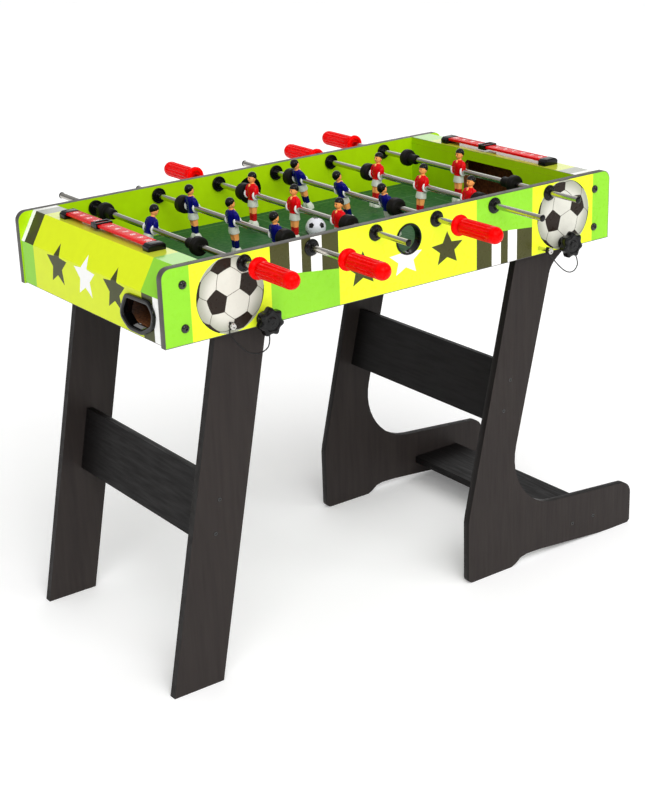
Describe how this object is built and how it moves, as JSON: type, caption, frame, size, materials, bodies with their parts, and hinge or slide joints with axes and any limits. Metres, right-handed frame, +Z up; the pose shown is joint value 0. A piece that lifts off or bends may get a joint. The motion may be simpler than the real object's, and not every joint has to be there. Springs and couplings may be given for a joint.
{
  "type": "foosball table",
  "caption": "Small table football game: an open cabinet with six sliding, spinning rods of men, sliding score counters and two leg frames that fold on clamp knobs.",
  "frame": {"origin": "on the floor, on the table's long centre line, midway between the tip of the right foot and the heel of the left leg", "axes": "+X along the cabinet towards the L-shaped frame, +Y across it to the back, +Z up"},
  "size_m": [1.0306, 0.834, 0.7339],
  "materials": {
    "side_board": "printed foil, satin",
    "end_board": "printed foil, glossy",
    "goal_board": "lime foil, satin",
    "field_print": "printed board, satin",
    "raw_wood": "raw",
    "trough_board": "raw hardboard",
    "black_plastic": "moulded, fine grain",
    "black_rubber": "smooth",
    "counter_red": "glossy",
    "grip_red": "glossy",
    "rod_steel": "plated steel tube",
    "zinc": "zinc plated",
    "bolt_black": "black oxide",
    "man_blue": "moulded and painted",
    "man_red": "moulded and painted",
    "leg_foil": "black foil with fine grain, satin",
    "ball_white": "glossy",
    "cord_black": "smooth"
  },
  "bodies": {
    "root": {"front_side_panel": "side_board", "back_side_panel": "side_board", "left_end_panel": "end_board", "right_end_panel": "end_board", "goal_walls": "goal_board", "playfield": "field_print", "field_supports": "raw_wood", "corner_blocks": "raw_wood", "ball_troughs": "trough_board", "return_ports": "black_plastic", "serve_rings": "black_plastic", "rod_bushings": "black_plastic", "panel_bolts": "bolt_black", "score_counters": "counter_red", "lock_pins": "zinc", "tether_rings": "cord_black", "tether_front_left": "cord_black", "tether_front_right": "cord_black", "tether_back_left": "cord_black", "tether_back_right": "cord_black"},
    "left_score": {"left_score_slider": "black_plastic"},
    "right_score": {"right_score_slider": "black_plastic"},
    "ball": {"ball": "ball_white"},
    "rod_1_carriage": {"rod_1_bumpers": "black_rubber"},
    "rod_1": {"rod_1_bar": "rod_steel", "rod_1_men": "man_blue", "rod_1_handle": "grip_red"},
    "rod_2_carriage": {"rod_2_bumpers": "black_rubber"},
    "rod_2": {"rod_2_bar": "rod_steel", "rod_2_men": "man_blue", "rod_2_handle": "grip_red"},
    "rod_3_carriage": {"rod_3_bumpers": "black_rubber"},
    "rod_3": {"rod_3_bar": "rod_steel", "rod_3_men": "man_red", "rod_3_handle": "grip_red"},
    "rod_4_carriage": {"rod_4_bumpers": "black_rubber"},
    "rod_4": {"rod_4_bar": "rod_steel", "rod_4_men": "man_blue", "rod_4_handle": "grip_red"},
    "rod_5_carriage": {"rod_5_bumpers": "black_rubber"},
    "rod_5": {"rod_5_bar": "rod_steel", "rod_5_men": "man_red", "rod_5_handle": "grip_red"},
    "rod_6_carriage": {"rod_6_bumpers": "black_rubber"},
    "rod_6": {"rod_6_bar": "rod_steel", "rod_6_men": "man_red", "rod_6_handle": "grip_red"},
    "left_frame": {"left_leg_front": "leg_foil", "left_leg_back": "leg_foil", "left_stretcher": "leg_foil", "left_frame_fasteners": "zinc"},
    "right_frame": {"right_leg_front": "leg_foil", "right_leg_back": "leg_foil", "right_stretcher": "leg_foil", "foot_shelf": "leg_foil", "right_frame_fasteners": "zinc"},
    "knob_front_left": {"knob_front_left": "black_plastic"},
    "knob_front_right": {"knob_front_right": "black_plastic"},
    "knob_back_left": {"knob_back_left": "black_plastic"},
    "knob_back_right": {"knob_back_right": "black_plastic"}
  },
  "joints": [
    {"name": "rod_1_slide", "type": "slide", "parent": "root", "child": "rod_1_carriage", "axis": [0, 1, 0], "range_m": [-0.101, 0.023]},
    {"name": "rod_1_spin", "type": "hinge", "parent": "rod_1_carriage", "child": "rod_1", "pos_m": [-0.34924, 0, 0.694], "axis": [0, 1, 0], "continuous": true},
    {"name": "rod_2_slide", "type": "slide", "parent": "root", "child": "rod_2_carriage", "axis": [0, 1, 0], "range_m": [-0.042, 0.07]},
    {"name": "rod_2_spin", "type": "hinge", "parent": "rod_2_carriage", "child": "rod_2", "pos_m": [-0.22424, 0, 0.694], "axis": [0, 1, 0], "continuous": true},
    {"name": "rod_3_slide", "type": "slide", "parent": "root", "child": "rod_3_carriage", "axis": [0, 1, 0], "range_m": [-0.043, 0.069]},
    {"name": "rod_3_spin", "type": "hinge", "parent": "rod_3_carriage", "child": "rod_3", "pos_m": [-0.09924, 0, 0.694], "axis": [0, 1, 0], "continuous": true},
    {"name": "rod_4_slide", "type": "slide", "parent": "root", "child": "rod_4_carriage", "axis": [0, 1, 0], "range_m": [-0.077, 0.035]},
    {"name": "rod_4_spin", "type": "hinge", "parent": "rod_4_carriage", "child": "rod_4", "pos_m": [0.02576, 0, 0.694], "axis": [0, 1, 0], "continuous": true},
    {"name": "rod_5_slide", "type": "slide", "parent": "root", "child": "rod_5_carriage", "axis": [0, 1, 0], "range_m": [-0.01, 0.102]},
    {"name": "rod_5_spin", "type": "hinge", "parent": "rod_5_carriage", "child": "rod_5", "pos_m": [0.15076, 0, 0.694], "axis": [0, 1, 0], "continuous": true},
    {"name": "rod_6_slide", "type": "slide", "parent": "root", "child": "rod_6_carriage", "axis": [0, 1, 0], "range_m": [-0.062, 0.062]},
    {"name": "rod_6_spin", "type": "hinge", "parent": "rod_6_carriage", "child": "rod_6", "pos_m": [0.27576, 0, 0.694], "axis": [0, 1, 0], "continuous": true},
    {"name": "left_score_slide", "type": "slide", "parent": "root", "child": "left_score", "axis": [0, 1, 0], "range_m": [-0.1425, 0.0865]},
    {"name": "right_score_slide", "type": "slide", "parent": "root", "child": "right_score", "axis": [0, 1, 0], "range_m": [-0.1425, 0.0865]},
    {"name": "ball_roll", "type": "slide", "parent": "root", "child": "ball", "axis": [0, 1, 0], "range_m": [-0.219, 0.189]},
    {"name": "right_fold", "type": "hinge", "parent": "root", "child": "right_frame", "pos_m": [0.30826, 0, 0.601], "axis": [0, -1, 0], "range_deg": [0, 90]},
    {"name": "left_fold", "type": "hinge", "parent": "root", "child": "left_frame", "pos_m": [-0.32174, 0, 0.601], "axis": [0, -1, 0], "range_deg": [0, 98]},
    {"name": "knob_front_left_turn", "type": "hinge", "parent": "root", "child": "knob_front_left", "pos_m": [-0.32174, 0, 0.601], "axis": [0, 1, 0], "continuous": true},
    {"name": "knob_front_right_turn", "type": "hinge", "parent": "root", "child": "knob_front_right", "pos_m": [0.30826, 0, 0.601], "axis": [0, 1, 0], "continuous": true},
    {"name": "knob_back_left_turn", "type": "hinge", "parent": "root", "child": "knob_back_left", "pos_m": [-0.32174, 0, 0.601], "axis": [0, 1, 0], "continuous": true},
    {"name": "knob_back_right_turn", "type": "hinge", "parent": "root", "child": "knob_back_right", "pos_m": [0.30826, 0, 0.601], "axis": [0, 1, 0], "continuous": true}
  ],
  "couplings": [
    {"joint": "left_fold", "follows": "right_fold", "ratio": 1.0888}
  ]
}
